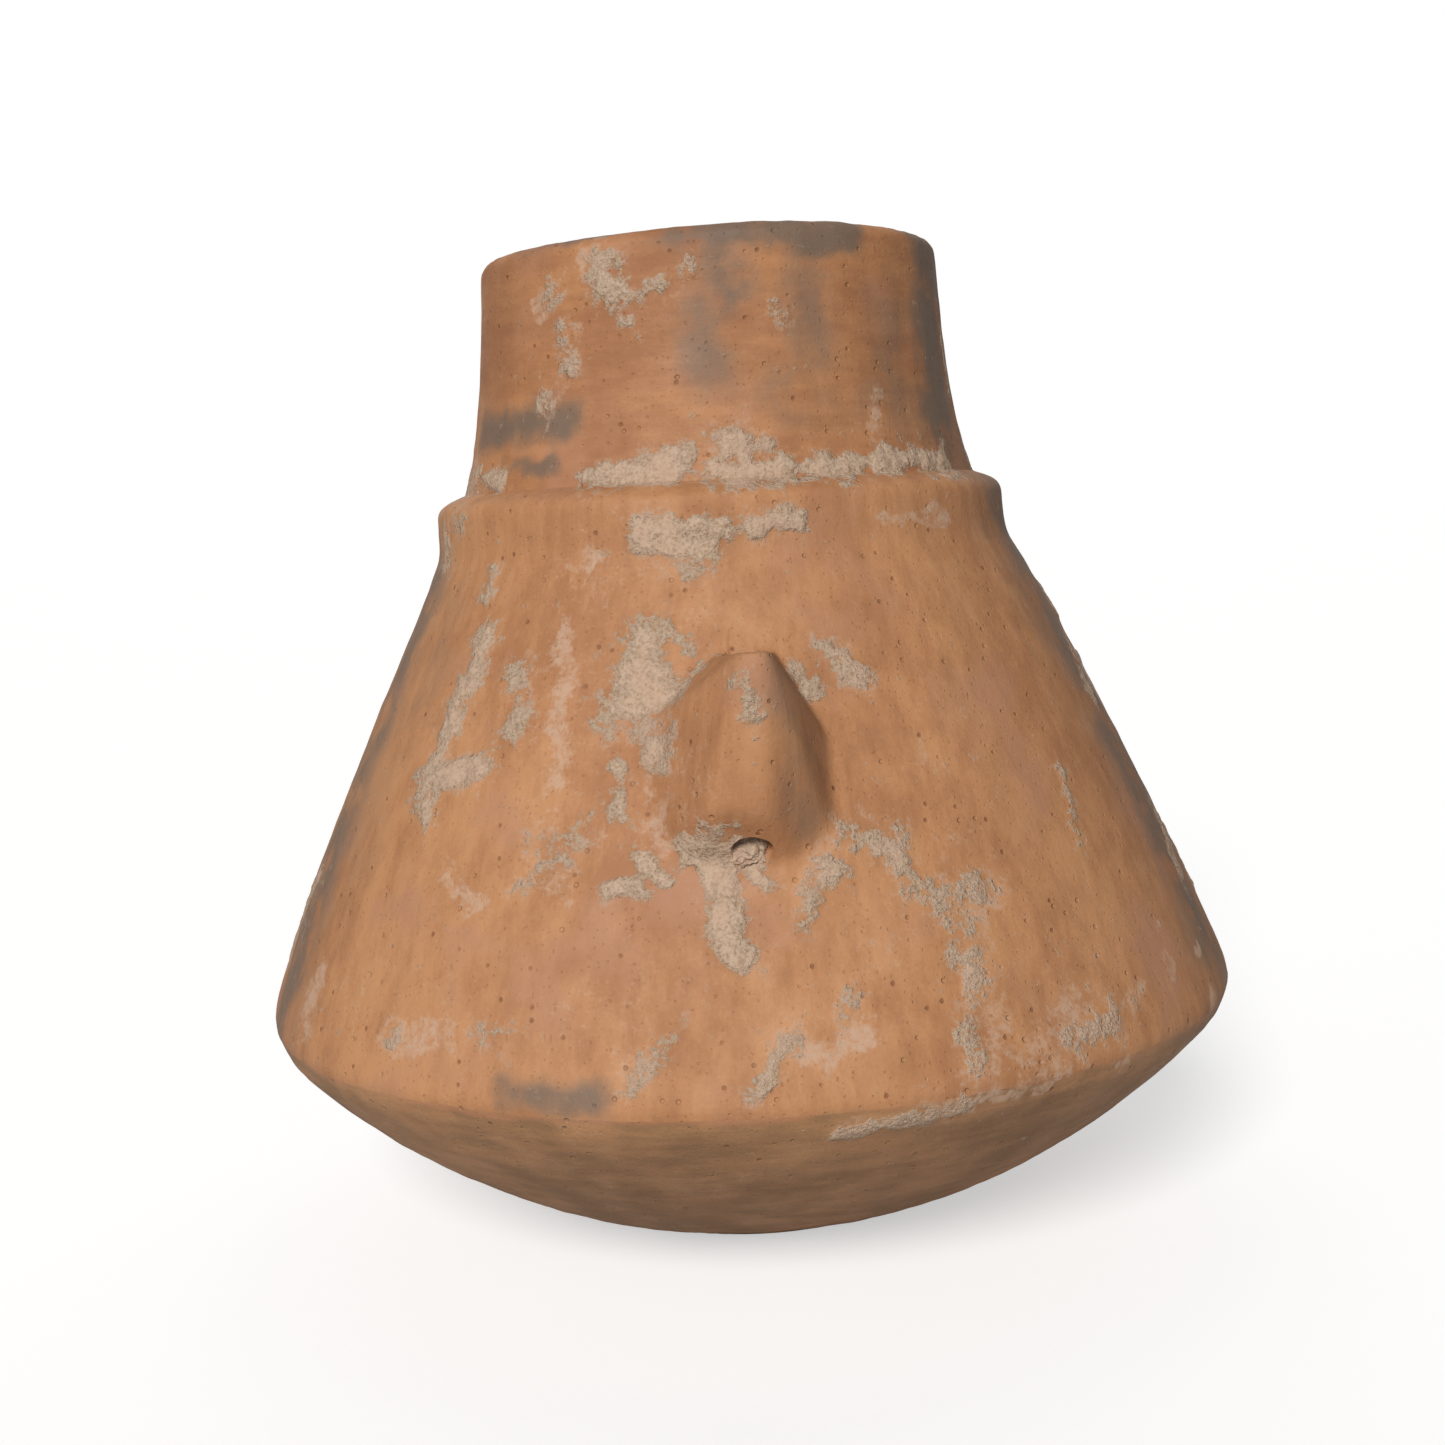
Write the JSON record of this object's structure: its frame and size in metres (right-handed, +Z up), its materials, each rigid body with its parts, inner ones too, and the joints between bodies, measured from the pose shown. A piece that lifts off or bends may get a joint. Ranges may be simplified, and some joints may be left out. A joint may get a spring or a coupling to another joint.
{
  "type": "amphora",
  "caption": "Hand-built clay amphora with a shallow round bowl, sharp keel, tall conical shoulder, collar ridge, short neck and upright pierced lugs for a carrying cord.",
  "frame": {"origin": "centre of the flat base, on the surface it stands on", "axes": "+Z up the vessel's axis through the mouth; -Y towards the front lug"},
  "size_m": [0.244, 0.244, 0.2419],
  "materials": {
    "bowl_clay": "matt, smoke-darkened low-fired clay",
    "shoulder_clay": "matt, hand-wiped orange terracotta",
    "neck_clay": "matt orange terracotta, greyed by smoke",
    "lug_clay": "matt, knife-cut orange terracotta",
    "burial_crust": "dry, chalky lime and soil crust"
  },
  "bodies": {
    "root": {"base_pad": "bowl_clay", "bowl_lower_coil": "bowl_clay", "bowl_middle_coil": "bowl_clay", "bowl_rim_coil": "bowl_clay", "shoulder_keel_coil": "shoulder_clay", "shoulder_lower_coil": "shoulder_clay", "shoulder_upper_coil": "shoulder_clay", "shoulder_top_coil": "shoulder_clay", "collar_ridge": "shoulder_clay", "neck_lower_coil": "neck_clay", "neck_upper_coil": "neck_clay", "rim_coil": "neck_clay", "lug_front": "lug_clay", "lug_rear": "lug_clay"}
  },
  "joints": []
}
